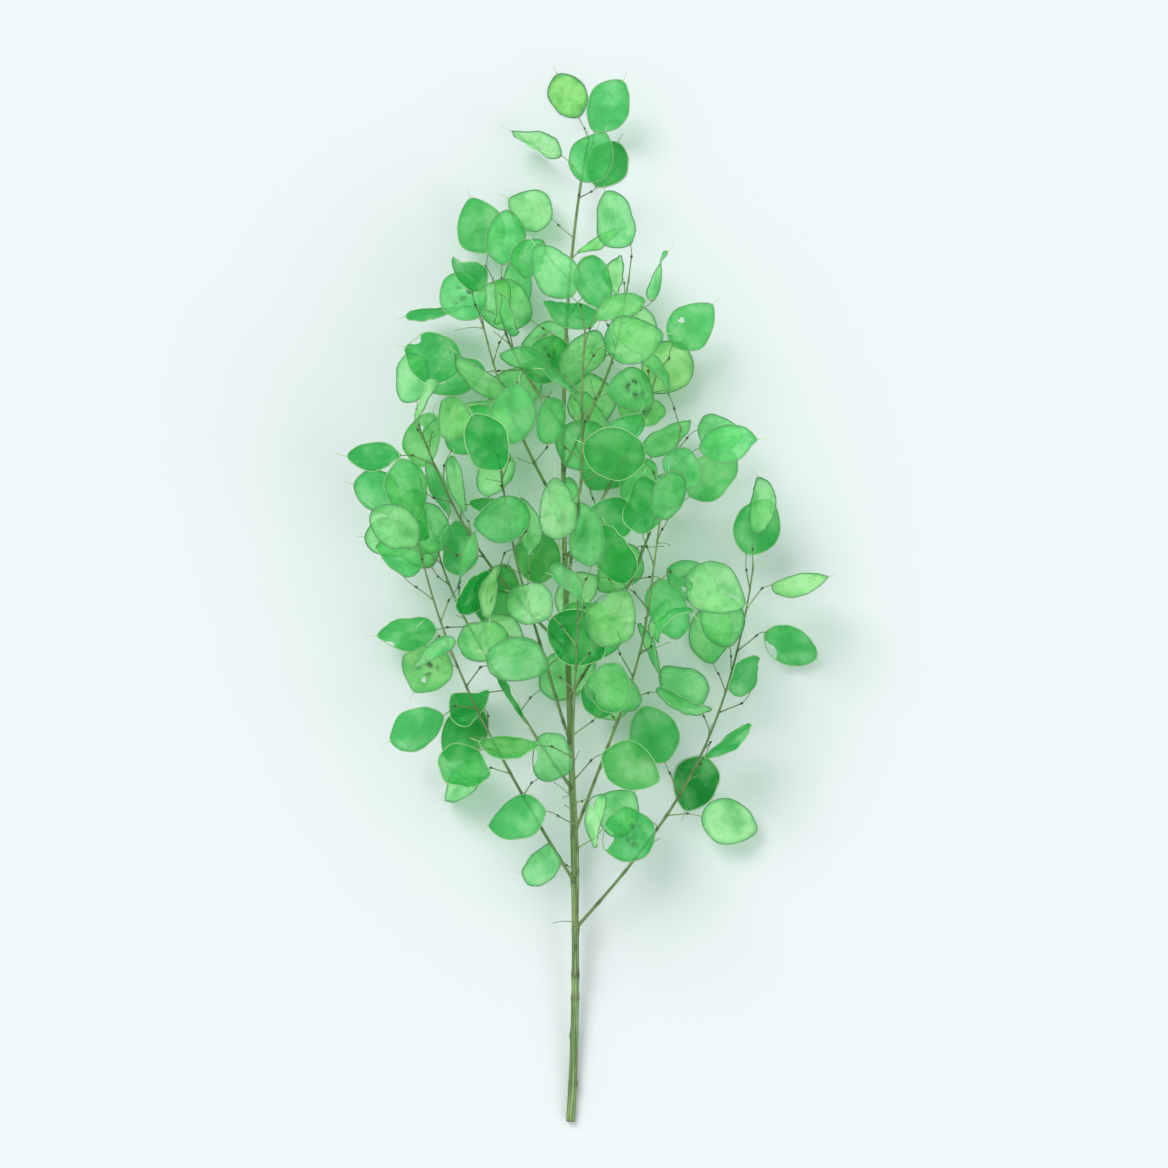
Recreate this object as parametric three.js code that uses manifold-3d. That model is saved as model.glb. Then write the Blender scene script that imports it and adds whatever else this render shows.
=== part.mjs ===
// One dried and dyed stem of honesty (Lunaria annua), cut and laid down on a flat surface.
// A woody main stalk carries side sprays. Every spray, and the stalk's own tip, is a raceme of flat papery
// seed pods: each hangs on a wiry pedicel, a knot where the flower sat and a thin stipe, and ends in a beak.
// Millimetres, +Z up. The tip points to +Y, the surface is z = 0, and the origin is under the middle.
import * as THREE from "three";
import { mergeVertices } from "three/addons/utils/BufferGeometryUtils.js";
import Module from "manifold-3d";

// ---- driving dimensions ----
const stalk = {
  cutRadius: 3.2,
  tipRadius: 0.9,
  sides: 8,
  steps: 24,
  bends: [
    [-9.9, -408.2, 3.2],
    [6.1, -158.2, 26],
    [-39.9, 91.8, 84],
    [4.1, 343.8, 13],
  ],
  bare: 0.7, // share of it below its own first pod
};
const branch = {
  count: 13,
  lowest: 0.14, // share of the stalk where the first side branch leaves it
  highest: 0.68,
  longest: 320,
  shortest: 135,
  footRadius: 1.25,
  tipRadius: 0.75,
  sides: 4,
  stepLength: 28,
  bare: 0.25,
  gap: 0.3, // between its foot and the stalk
  leaves: 40, // degrees to the stalk at its foot
  ends: 12, // degrees to the stalk at its tip
  fanFrom: -34, // degrees round the stalk from +X: the branches fan over the upper side
  fanOver: 248,
  flattened: 0.7, // how far the fan rises for its spread to the sides
  wander: 0.008, // share of its length that it sways to each side
  restHeight: 9, // of a low branch, which runs along the surface
  restBend: 14,
};
const pedicel = {
  shortest: 14,
  longest: 21,
  radius: 0.55,
  sides: 3,
  rooted: 3, // the last one's distance from the end of its twig
  opensLow: 62, // degrees to the twig, at the bottom of a raceme
  opensAtTip: 26,
};
const stipe = { shortest: 8, longest: 13, radius: 0.34, knotRadius: 1.1, sunk: 3 };
const pod = {
  shortest: 36,
  longest: 46,
  slimmest: 0.75, // width over length
  broadest: 0.93,
  point: 0.045, // share of its length that the rim is drawn out at base and beak
  beak: 8,
  thickness: 0.7,
  innerRing: 0.58,
  rim: 1.02, // the rim's corners stand a little out of the round outline that they stand for
  spacing: 18,
  tightestCurl: 16,
  widestCurl: 120,
  droop: 1.5,
  roll: 95, // degrees
  liesUnder: 15, // a pod whose knot is lower than this lies flat on the surface
};
const clearance = { podToPod: 5.5, podToWire: 4.8, wireToWire: 3, surface: 1.2, reach: 66, tries: 90 };
const seed = 11;

const degrees = Math.PI / 180;
const goldenShare = 0.618034;
const goldenAngle = 137.5 * degrees;
const up = new THREE.Vector3(0, 0, 1);

// ---- small helpers ----
// Draws that come out the same on every run.
function makeDice(start) {
  let state = start;
  return (low = 0, high = 1) => {
    state = (state * 1664525 + 1013904223) % 4294967296;
    return low + ((high - low) * state) / 4294967296;
  };
}

const mix = (a, b, share) => a + (b - a) * share;
const vector = (x, y, z) => new THREE.Vector3(x, y, z);
const plus = (a, b, size) => a.clone().addScaledVector(b, size);
const between = (a, b, share) => a.clone().lerp(b, share);

function stray(dice, rise) {
  return vector(dice(-1, 1), dice(-1, 1), dice(-rise, rise));
}

function directionAt(path, t) {
  const h = 0.001;
  return path(t + h).sub(path(t - h)).normalize();
}

// The direction that leans from forward towards outward by an angle.
function lean(forward, outward, angle) {
  return forward.clone().multiplyScalar(Math.cos(angle)).addScaledVector(outward, Math.sin(angle));
}

// A unit vector square to forward, turned by angle from the side that faces up.
function aside(forward, angle) {
  const first = plus(up, forward, -forward.z).normalize();
  return lean(first, forward.clone().cross(first), angle);
}

// ---- how it grows ----
function stalkPath() {
  const curve = new THREE.CubicBezierCurve3(...stalk.bends.map((bend) => vector(...bend)));
  return (t) => curve.getPoint(t);
}

function stalkRadius(t) {
  return mix(stalk.cutRadius, stalk.tipRadius, Math.pow(t, 0.85));
}

// A side branch leaves the stalk steeply and then runs up beside it, swaying a little. One that would
// sink below the surface bends up and runs along it.
function growBranch(index, main, dice) {
  const share = index / (branch.count - 1);
  const at = mix(branch.lowest, branch.highest, share);
  const fan = (branch.fanFrom + branch.fanOver * ((0.5 + index * goldenShare) % 1)) * degrees;
  const length = mix(branch.longest, branch.shortest, share) * dice(0.92, 1.06);
  const forward = directionAt(main, at);
  const outward = vector(Math.cos(fan), 0, branch.flattened * Math.sin(fan));
  const spread = outward.length() * degrees;
  outward.addScaledVector(forward, -outward.dot(forward)).normalize();
  const atFoot = branch.leaves + dice(-5, 5);
  const atTip = branch.ends + dice(-7, 7);
  const foot = main(at);
  const lower = plus(foot, lean(forward, outward, atFoot * spread), length * 0.4);
  const upper = plus(lower, lean(forward, outward, mix(atFoot, atTip, 0.5) * spread), length * 0.3);
  const end = plus(upper, lean(forward, outward, atTip * spread), length * 0.3);
  const curve = new THREE.CubicBezierCurve3(foot, lower, upper, end);
  const sideways = forward.clone().cross(outward);
  const phase = dice(0, 6.28);
  const path = (t) => {
    const sway = branch.wander * length * Math.sin(Math.PI * THREE.MathUtils.clamp(t, 0, 1));
    const point = curve.getPoint(t);
    point.addScaledVector(sideways, sway * Math.sin(7 * t + phase));
    point.addScaledVector(outward, sway * Math.cos(5 * t + phase));
    const over = point.z - branch.restHeight;
    return point.setZ(branch.restHeight + 0.5 * (over + Math.hypot(over, branch.restBend)));
  };
  return { path, length, bare: branch.bare };
}

// Rolls the flat blade (x along the pod, y across it, both from its middle) up on two cones, one on each
// side of a straight fold line. Gives the point and the blade's own normal there.
function bendBlade(blade, x, y) {
  const cos = Math.cos(blade.fold);
  const sin = Math.sin(blade.fold);
  const s = x * cos + y * sin;
  const w = y * cos - x * sin;
  const curl = s > 0 ? blade.curls[0] : blade.curls[1];
  const radius = Math.abs(curl) * (1 + (blade.cone * w) / blade.length);
  const turned = Math.max(Math.abs(s) - blade.flat, 0) / radius;
  const run = Math.sign(s) * (Math.min(Math.abs(s), blade.flat) + radius * Math.sin(turned));
  const lift = Math.sign(curl) * radius * (1 - Math.cos(turned));
  const slope = Math.sign(s) * Math.sign(curl) * turned;
  const place = (a, b, c) =>
    blade.axis.clone().multiplyScalar(a).addScaledVector(blade.across, b).addScaledVector(blade.normal, c);
  return {
    point: place(run * cos - w * sin, run * sin + w * cos, lift),
    normal: place(-Math.sin(slope) * cos, -Math.sin(slope) * sin, Math.cos(slope)),
  };
}

// A place on the blade: share is its distance from the middle (1 is the rim), and angle runs round it
// from the base (0) past one side to the beak (180 degrees). The base stays where the stipe ends.
function bladePlace(blade, share, angle) {
  const at = (placeShare, placeAngle) => {
    const c = Math.cos(placeAngle);
    const point = pod.point * Math.pow(Math.min(placeShare, 1), 8) * Math.pow(Math.abs(c), 14);
    const x = -blade.length * (0.5 * placeShare * c + Math.sign(c) * point);
    const y = 0.5 * blade.width * placeShare * Math.sin(placeAngle) * (1 + blade.egg * placeShare * c);
    return bendBlade(blade, x, y);
  };
  const { point, normal } = at(share, angle);
  return { point: point.sub(at(1, 0).point).add(blade.base), normal };
}

// One try at a pod: pedicel, knot, stipe and blade, from the point root on a twig that runs forward.
function drawPod(root, forward, turn, share, dice) {
  const opens = mix(pedicel.opensLow, pedicel.opensAtTip, share * share) * degrees * dice(0.85, 1.15);
  const first = lean(forward, aside(forward, turn + dice(-0.5, 0.5)), opens);
  const knot = plus(root, first, dice(pedicel.shortest, pedicel.longest));
  const droop = dice(-0.3, pod.droop) * (1 - share * share);
  const second = plus(first, stray(dice, 0.7), 0.5).addScaledVector(forward, -0.4 * droop).normalize();
  const stipeLength = dice(stipe.shortest, stipe.longest);
  const length = mix(pod.longest, pod.shortest, 0.35 * share + 0.65 * dice());
  const width = length * dice(pod.slimmest, pod.broadest);
  const axis = plus(second, stray(dice, 0.6), 0.7).addScaledVector(forward, -0.6 * droop).normalize();
  const roll = (dice() + dice() - 1) * pod.roll * degrees;
  const curls = [0, 1].map(() => {
    const radius = mix(pod.tightestCurl, pod.widestCurl, Math.pow(dice(), 1.6));
    return dice() < 0.5 ? radius : -radius;
  });
  if (dice() < 0.7) curls[1] = Math.abs(curls[1]) * Math.sign(curls[0]);
  const egg = dice(-0.12, 0.22);
  const fold = dice(0, Math.PI);
  const flat = dice(0, 6);
  const cone = dice(-0.7, 0.7);
  const blade = { length, width, egg, fold, flat, cone, curls, axis, normal: aside(axis, roll) };
  blade.base = plus(knot, second, stipeLength);
  const lies = knot.z < pod.liesUnder;
  if (lies) {
    blade.axis = vector(second.x, second.y, 0).normalize();
    blade.normal = up.clone();
    blade.base = plus(knot, blade.axis, stipeLength).setZ(0.5 * pod.thickness);
    blade.flat = 0.3 * length;
    blade.curls = curls.map(Math.abs);
  }
  blade.across = blade.normal.clone().cross(blade.axis);
  return { root, knot, blade, lies };
}

// Points spread over a pod's blade, and along its beak and wire, to measure how near it comes to others.
function samplePod({ root, knot, blade }) {
  const middle = bladePlace(blade, 0, 0).point;
  const spread = [middle];
  for (const ring of [1, 2, 3, 4]) {
    const count = 6 * ring;
    for (let i = 0; i < count; i++) spread.push(bladePlace(blade, ring / 4, (i / count) * 2 * Math.PI).point);
  }
  const beak = [0.5, 1].map((end) => bladePlace(blade, 1 + (2 * end * pod.beak) / blade.length, Math.PI).point);
  const foot = [2, 3].map((i) => between(root, knot, i / 6));
  const wire = [4, 5, 6].map((i) => between(root, knot, i / 6));
  for (const i of [1, 2, 3, 4]) wire.push(between(knot, blade.base, i / 5));
  return { middle, blade: spread, free: [...beak, ...wire], wire: [...beak, ...foot, ...wire] };
}

function comeWithin(points, others, distance) {
  const limit = distance * distance;
  return points.some((point) => others.some((other) => point.distanceToSquared(other) < limit));
}

// Whether a pod is clear of the surface, of every twig and of the pods that are already there.
function isClear(samples, lies, twigs, grown) {
  const low = lies ? 0.5 * pod.thickness - 0.01 : clearance.surface;
  if ([...samples.blade, ...samples.wire].some((point) => point.z < low)) return false;
  const isNear = (point) => point.distanceTo(samples.middle) < clearance.reach;
  const nearTwigs = twigs.filter(isNear);
  if (comeWithin(samples.blade, nearTwigs, clearance.podToWire)) return false;
  if (comeWithin(samples.free, nearTwigs, clearance.wireToWire)) return false;
  return grown
    .filter((other) => isNear(other.middle))
    .every(
      (other) =>
        !comeWithin(samples.blade, other.blade, clearance.podToPod) &&
        !comeWithin(samples.blade, other.wire, clearance.podToWire) &&
        !comeWithin(samples.wire, other.blade, clearance.podToWire) &&
        !comeWithin(samples.wire, other.wire, clearance.wireToWire),
    );
}

// The pods of one raceme, each turned on from the last by the golden angle. A pod that finds no clear
// room at its place has fallen.
function growPods(raceme, twigs, grown, dice) {
  const count = Math.round((raceme.length * (1 - raceme.bare)) / pod.spacing) + 1;
  let turn = dice(0, 6.28);
  const pods = [];
  for (let i = 0; i < count; i++) {
    const share = i / (count - 1);
    const t = mix(raceme.bare, 1 - pedicel.rooted / raceme.length, share);
    const root = raceme.path(t);
    const forward = directionAt(raceme.path, t);
    turn += goldenAngle;
    for (let attempt = 0; attempt < clearance.tries; attempt++) {
      const made = drawPod(root, forward, turn, share, dice);
      const samples = samplePod(made);
      if (!isClear(samples, made.lies, twigs, grown)) continue;
      grown.push(samples);
      pods.push(made);
      break;
    }
  }
  return pods;
}

// The whole stem as racemes: the side sprays first, from the lowest up, and the stalk's own raceme last.
function growStem() {
  const dice = makeDice(seed);
  const main = stalkPath();
  const racemes = [];
  for (let i = 0; i < branch.count; i++) racemes.push(growBranch(i, main, dice));
  racemes.push({ path: main, length: main(0).distanceTo(main(1)), bare: stalk.bare });
  const twigs = [];
  for (const raceme of racemes) {
    const count = Math.round(raceme.length / 4);
    for (let i = 0; i <= count; i++) twigs.push(raceme.path(i / count));
  }
  const grown = [];
  for (const raceme of racemes) raceme.pods = growPods(raceme, twigs, grown, dice);
  return racemes;
}

// ---- solids ----
const wasm = await Module();
wasm.setup();

function solidFrom(geometry) {
  geometry.deleteAttribute("normal");
  geometry.deleteAttribute("uv");
  const merged = mergeVertices(geometry, 1e-4);
  return new wasm.Manifold(
    new wasm.Mesh({
      numProp: 3,
      vertProperties: new Float32Array(merged.attributes.position.array),
      triVerts: new Uint32Array(merged.index.array),
    }),
  );
}

// A cylinder drawn out along a path, with its radius at each step from radiusAt.
function tube(path, radiusAt, sides, steps, reference = up) {
  const geometry = new THREE.CylinderGeometry(1, 1, 1, sides, steps);
  const position = geometry.attributes.position;
  for (let i = 0; i < position.count; i++) {
    const t = position.getY(i) + 0.5;
    const forward = directionAt(path, THREE.MathUtils.clamp(t, 0.001, 0.999));
    const first = reference.clone().cross(forward).normalize();
    const second = forward.clone().cross(first);
    const point = path(t);
    point.addScaledVector(first, position.getX(i) * radiusAt(t));
    point.addScaledVector(second, -position.getZ(i) * radiusAt(t));
    position.setXYZ(i, point.x, point.y, point.z);
  }
  return solidFrom(geometry);
}

// The blade: a middle, an inner ring and a rim on both faces, split into triangles alike, and the beak
// drawn out of the rim as a spike.
function bladeSolid({ blade }) {
  const rimDegrees = [0, 45, 90, 135, 176, 180, 184, 225, 270, 315];
  const rimCount = rimDegrees.length;
  const innerCount = rimCount / 2;
  const beakEnd = 1 + (2 * pod.beak) / blade.length;
  const places = [[0, 0]];
  for (let i = 0; i < innerCount; i++) places.push([pod.innerRing, (i / innerCount) * 2 * Math.PI]);
  for (const angle of rimDegrees) places.push([angle === 180 ? beakEnd : pod.rim, angle * degrees]);
  const points = [];
  for (const side of [0.5, -0.5]) {
    for (const [share, angle] of places) {
      const { point, normal } = bladePlace(blade, share, angle);
      points.push(plus(point, normal, side * pod.thickness));
    }
  }
  const inner = (k) => 1 + (k % innerCount);
  const rim = (k) => 1 + innerCount + (k % rimCount);
  const faces = [];
  for (let k = 0; k < innerCount; k++) {
    faces.push([0, inner(k), inner(k + 1)]);
    faces.push([inner(k), rim(2 * k), rim(2 * k + 1)]);
    faces.push([inner(k), rim(2 * k + 1), inner(k + 1)]);
    faces.push([inner(k + 1), rim(2 * k + 1), rim(2 * k + 2)]);
  }
  const under = places.length;
  const triangles = faces.flatMap(([a, b, c]) => [a, c, b, a + under, b + under, c + under]);
  for (let k = 0; k < rimCount; k++) {
    const a = rim(k);
    const b = rim(k + 1);
    triangles.push(a, b, a + under, b, b + under, a + under);
  }
  const geometry = new THREE.BufferGeometry().setFromPoints(points);
  geometry.setIndex(triangles);
  return solidFrom(geometry);
}

// Pedicel and stipe in one wire with the knot between them. Its end is sunk in the blade, on the edge
// that runs from the rim's first corner to the inner ring's.
function wireSolid({ root, knot, blade }) {
  const rimCorner = bladePlace(blade, pod.rim, 0).point;
  const innerCorner = bladePlace(blade, pod.innerRing, 0).point;
  const end = between(rimCorner, innerCorner, stipe.sunk / rimCorner.distanceTo(innerCorner));
  const stops = [root, knot, between(knot, end, 0.2), end];
  const radii = [pedicel.radius, stipe.knotRadius, stipe.radius, stipe.radius];
  const steps = stops.length - 1;
  const path = (t) => {
    const from = Math.min(Math.floor(steps * t), steps - 1);
    return between(stops[from], stops[from + 1], steps * t - from);
  };
  const upright = Math.abs(end.z - root.z) > 0.7 * end.distanceTo(root);
  const reference = upright ? vector(1, 0, 0) : up;
  return tube(path, (t) => radii[Math.round(steps * t)], pedicel.sides, steps, reference);
}

// A raceme as one body: its twig or stalk, with every pod and wire fused to it.
function racemeSolid(axisSolid, pods) {
  return wasm.Manifold.union([axisSolid, ...pods.flatMap((made) => [bladeSolid(made), wireSolid(made)])]);
}

function meshOf(name, solid, material) {
  const made = solid.getMesh();
  const geometry = new THREE.BufferGeometry();
  geometry.setAttribute("position", new THREE.BufferAttribute(made.vertProperties, 3));
  geometry.setIndex(new THREE.BufferAttribute(made.triVerts, 1));
  geometry.computeVertexNormals();
  const mesh = new THREE.Mesh(geometry, material);
  mesh.name = name;
  return mesh;
}

// ---- the part ----
const driedStalk = new THREE.MeshStandardMaterial({ color: 0x6f8f4a, roughness: 0.75, metalness: 0 });
const papery = new THREE.MeshStandardMaterial({ color: 0x52c878, roughness: 0.55, metalness: 0 });

const racemes = growStem();
const mainRaceme = racemes.pop();
const main = mainRaceme.path;
const group = new THREE.Group();
const stalkSolid = tube(main, stalkRadius, stalk.sides, stalk.steps);
group.add(meshOf("main_stem", racemeSolid(stalkSolid, mainRaceme.pods), driedStalk));

const stalkRoom = tube(main, (t) => stalkRadius(t) + branch.gap, stalk.sides, stalk.steps);
racemes.forEach(({ path, length, pods }, i) => {
  const radiusAt = (t) => mix(branch.footRadius, branch.tipRadius, t);
  const steps = Math.round(length / branch.stepLength);
  const twig = tube(path, radiusAt, branch.sides, steps).subtract(stalkRoom);
  const name = "side_spray_" + String(i + 1).padStart(2, "0");
  group.add(meshOf(name, racemeSolid(twig, pods), papery));
});

export default group;
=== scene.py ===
import math

import bmesh
import bpy
import numpy as np
from mathutils import Matrix, Vector


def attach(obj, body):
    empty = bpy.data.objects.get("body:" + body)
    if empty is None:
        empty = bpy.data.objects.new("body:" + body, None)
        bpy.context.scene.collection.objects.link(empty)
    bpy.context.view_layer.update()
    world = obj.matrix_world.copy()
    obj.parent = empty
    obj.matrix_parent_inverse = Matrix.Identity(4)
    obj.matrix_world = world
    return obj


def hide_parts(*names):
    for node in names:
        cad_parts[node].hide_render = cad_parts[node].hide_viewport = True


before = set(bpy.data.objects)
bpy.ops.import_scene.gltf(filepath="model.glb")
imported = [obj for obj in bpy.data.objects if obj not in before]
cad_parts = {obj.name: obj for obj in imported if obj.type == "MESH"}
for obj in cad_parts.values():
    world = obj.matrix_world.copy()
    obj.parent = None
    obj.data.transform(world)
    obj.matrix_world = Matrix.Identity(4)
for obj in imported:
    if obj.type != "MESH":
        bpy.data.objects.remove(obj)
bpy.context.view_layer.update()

print("frame loaded:", len(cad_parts), "nodes")

# A dried, dyed stem of honesty, lying on the floor. Everything grows in millimetres by the same rule as
# the solids, with the same draws, and is turned to metres when its mesh is made.
mm = 0.001
degree = math.pi / 180
goldenShare = 0.618034
goldenAngle = 137.5 * degree
roundTurn = 6.28  # a whole turn, as the solids round it
seeds = dict(growth=11, bareWires=37, details=29)
up = np.array([0.0, 0.0, 1.0])


def makeDice(start):
    state = start
    span = 2**32

    def draw(low=0.0, high=1.0):
        nonlocal state
        state = (state * 1664525 + 1013904223) % span
        return low + (high - low) * state / span

    return draw


def mix(a, b, share):
    return a + (b - a) * share


def vec(x, y, z):
    return np.array([x, y, z], dtype=float)


def unit(v):
    return v / math.sqrt(float(v @ v))


def stray(dice, rise):  # to any side, and up or down by as much as rise
    return vec(dice(-1, 1), dice(-1, 1), dice(-rise, rise))


def directionAt(path, t):
    step = 0.001
    return unit(path(t + step) - path(t - step))


def lean(forward, outward, angle):
    return forward * math.cos(angle) + outward * math.sin(angle)


def aside(forward, angle):  # square to forward, turned from the side that faces up
    first = unit(up - forward * forward[2])
    return lean(first, np.cross(forward, first), angle)


def bezier(bends, t):
    t = np.asarray(t, dtype=float)[..., None]
    a, b, c, d = (np.asarray(p, dtype=float) for p in bends)
    k = 1 - t
    return a * k**3 + b * (3 * k**2 * t) + c * (3 * k * t**2) + d * t**3


# the stalk and its side branches

stalk = dict(
    bends=[(-9.9, -408.2, 3.2), (6.1, -158.2, 26), (-39.9, 91.8, 84), (4.1, 343.8, 13)],
    cutRadius=3.2, tipRadius=0.9, taper=0.85,
    bare=0.7,  # share of it below its own first pod
)
branch = dict(
    count=13, lowest=0.14, highest=0.68,  # shares of the stalk where they leave it
    longest=320, shortest=135, lengthStray=(0.92, 1.06), footRadius=1.25, tipRadius=0.75,
    bare=0.25, leaves=40, ends=12, leavesStray=5, endsStray=7,  # degrees to the stalk at foot and tip
    legs=(0.4, 0.3, 0.3),  # shares of the length between the points that bend it
    fanFrom=-34, fanOver=248, flattened=0.7,
    wander=0.008, waves=(7, 5), restHeight=9, restBend=14,
)


def stalkPath(t):
    return bezier(stalk["bends"], t)


def stalkRadius(t):
    return mix(stalk["cutRadius"], stalk["tipRadius"], np.power(t, stalk["taper"]))


def growBranch(index, dice):
    share = index / (branch["count"] - 1)
    at = mix(branch["lowest"], branch["highest"], share)
    fan = (branch["fanFrom"] + branch["fanOver"] * ((0.5 + index * goldenShare) % 1)) * degree
    length = mix(branch["longest"], branch["shortest"], share) * dice(*branch["lengthStray"])
    forward = directionAt(stalkPath, at)
    outward = vec(math.cos(fan), 0, branch["flattened"] * math.sin(fan))
    spread = math.sqrt(float(outward @ outward)) * degree
    outward = unit(outward - forward * float(outward @ forward))
    atFoot = branch["leaves"] + dice(-branch["leavesStray"], branch["leavesStray"])
    atTip = branch["ends"] + dice(-branch["endsStray"], branch["endsStray"])
    foot = stalkPath(at)
    legs = [length * leg for leg in branch["legs"]]
    lower = foot + lean(forward, outward, atFoot * spread) * legs[0]
    upper = lower + lean(forward, outward, mix(atFoot, atTip, 0.5) * spread) * legs[1]
    end = upper + lean(forward, outward, atTip * spread) * legs[2]
    sideways = np.cross(forward, outward)
    phase = dice(0, roundTurn)

    def path(t):
        t = np.asarray(t, dtype=float)
        sway = branch["wander"] * length * np.sin(math.pi * np.clip(t, 0, 1))
        point = bezier([foot, lower, upper, end], t)
        point = point + (sway * np.sin(branch["waves"][0] * t + phase))[..., None] * sideways
        point = point + (sway * np.cos(branch["waves"][1] * t + phase))[..., None] * outward
        over = point[..., 2] - branch["restHeight"]
        point[..., 2] = branch["restHeight"] + 0.5 * (over + np.hypot(over, branch["restBend"]))
        return point

    return dict(path=path, length=length, bare=branch["bare"], at=at)


# one seed pod: pedicel, knot, stipe and a bent oval blade with a beak

pedicel = dict(shortest=14, longest=21, radius=0.5, rooted=3, opensLow=62, opensAtTip=26, stray=(0.85, 1.15))
stipe = dict(shortest=8, longest=13, radius=0.32, knotRadius=1.0, stray=0.5, rise=0.7, hangs=0.4)
pod = dict(
    shortest=36, longest=46, smaller=(0.35, 0.65),  # towards the raceme's tip, and by chance
    slimmest=0.75, broadest=0.93, point=0.045, beak=8, spacing=18,
    tightestCurl=16, widestCurl=120, curlSkew=1.6, curlsAlike=0.7,
    egg=(-0.12, 0.22), flat=(0, 6), cone=(-0.7, 0.7),
    droop=(-0.3, 1.5), hangs=0.6,  # one droop for both, and how far stipe and pod each follow it
    stray=0.7, rise=0.6, roll=95, turnStray=0.5,
    liesUnder=15, flatLying=0.3,  # a pod whose knot is lower than the first lies flat over that share
    cadThickness=0.7,
)
clearance = dict(
    podToPod=5.5, podToWire=4.8, wireToWire=3, surface=1.2, slack=0.01, reach=66, tries=90, twigStep=4,
)


def bendBlade(blade, x, y):
    # two cones, one on each side of a straight fold line
    cos, sin = math.cos(blade["fold"]), math.sin(blade["fold"])
    s = x * cos + y * sin
    w = y * cos - x * sin
    curl = np.where(s > 0, blade["curls"][0], blade["curls"][1])
    radius = np.abs(curl) * (1 + blade["cone"] * w / blade["length"])
    turned = np.maximum(np.abs(s) - blade["flat"], 0) / radius
    run = np.sign(s) * (np.minimum(np.abs(s), blade["flat"]) + radius * np.sin(turned))
    lift = np.sign(curl) * radius * (1 - np.cos(turned))
    slope = np.sign(s) * np.sign(curl) * turned
    axes = np.array([blade["axis"], blade["across"], blade["normal"]])
    point = np.stack([run * cos - w * sin, run * sin + w * cos, lift], axis=-1) @ axes
    normal = np.stack([-np.sin(slope) * cos, -np.sin(slope) * sin, np.cos(slope)], axis=-1) @ axes
    return point, normal


def flatPlace(blade, share, angle):
    # share 0 is the middle and 1 the rim; angle 0 is the base and pi the beak; the high powers keep the
    # points to those two
    c = np.cos(angle)
    point = pod["point"] * np.minimum(share, 1) ** 8 * np.abs(c) ** 14
    x = -blade["length"] * (0.5 * share * c + np.sign(c) * point)
    y = 0.5 * blade["width"] * share * np.sin(angle) * (1 + blade["egg"] * share * c)
    return x, y


def bladePlace(blade, share, angle):
    share = np.asarray(share, dtype=float)
    angle = np.asarray(angle, dtype=float)
    point, normal = bendBlade(blade, *flatPlace(blade, share, angle))
    base, _ = bendBlade(blade, *flatPlace(blade, np.float64(1), np.float64(0)))
    return point - base + blade["base"], normal


def drawPod(root, forward, turn, share, dice):
    opens = mix(pedicel["opensLow"], pedicel["opensAtTip"], share * share) * degree * dice(*pedicel["stray"])
    first = lean(forward, aside(forward, turn + dice(-pod["turnStray"], pod["turnStray"])), opens)
    knot = root + first * dice(pedicel["shortest"], pedicel["longest"])
    droop = dice(*pod["droop"]) * (1 - share * share)
    second = unit(first + stray(dice, stipe["rise"]) * stipe["stray"] - forward * (stipe["hangs"] * droop))
    stipeLength = dice(stipe["shortest"], stipe["longest"])
    smaller = pod["smaller"][0] * share + pod["smaller"][1] * dice()
    length = mix(pod["longest"], pod["shortest"], smaller)
    width = length * dice(pod["slimmest"], pod["broadest"])
    axis = unit(second + stray(dice, pod["rise"]) * pod["stray"] - forward * (pod["hangs"] * droop))
    roll = (dice() + dice() - 1) * pod["roll"] * degree
    curls = []
    for side in range(2):
        radius = mix(pod["tightestCurl"], pod["widestCurl"], dice() ** pod["curlSkew"])
        curls.append(radius if dice() < 0.5 else -radius)
    if dice() < pod["curlsAlike"]:
        curls[1] = math.copysign(curls[1], curls[0])
    egg = dice(*pod["egg"])
    fold = dice(0, math.pi)
    flat = dice(*pod["flat"])
    cone = dice(*pod["cone"])
    blade = dict(length=length, width=width, egg=egg, fold=fold, flat=flat, cone=cone, curls=curls)
    blade["axis"] = axis
    blade["normal"] = aside(axis, roll)
    blade["base"] = knot + second * stipeLength
    lies = bool(knot[2] < pod["liesUnder"])
    if lies:
        blade["axis"] = unit(vec(second[0], second[1], 0))
        blade["normal"] = up
        blade["base"] = knot + blade["axis"] * stipeLength
        blade["base"][2] = 0.5 * pod["cadThickness"]
        blade["flat"] = pod["flatLying"] * length
        blade["curls"] = [abs(c) for c in curls]
    blade["across"] = np.cross(blade["normal"], blade["axis"])
    return dict(root=root, knot=knot, blade=blade, lies=lies, forward=forward)


sampleRings = np.concatenate([[0.0]] + [np.full(6 * ring, ring / 4) for ring in (1, 2, 3, 4)])
sampleAngles = np.concatenate([[0.0]] + [np.arange(6 * n) / (6 * n) * 2 * math.pi for n in (1, 2, 3, 4)])


def samplePod(made):
    blade, root, knot = made["blade"], made["root"], made["knot"]
    spread, _ = bladePlace(blade, sampleRings, sampleAngles)
    beakShares = 1 + 2 * np.array([0.5, 1.0]) * pod["beak"] / blade["length"]
    beak, _ = bladePlace(blade, beakShares, np.full(2, math.pi))
    onPedicel = np.array([root + (knot - root) * (i / 6) for i in (2, 3, 4, 5, 6)])
    onStipe = np.array([knot + (blade["base"] - knot) * (i / 5) for i in (1, 2, 3, 4)])
    free = np.concatenate([beak, onPedicel[2:], onStipe])
    wire = np.concatenate([beak, onPedicel, onStipe])
    return dict(middle=spread[0], blade=spread, free=free, wire=wire)


def comeWithin(points, others, distance):
    if not len(others):
        return False
    gaps = points[:, None] - others[None]
    return bool((np.einsum("ijk,ijk->ij", gaps, gaps) < distance * distance).any())


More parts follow.
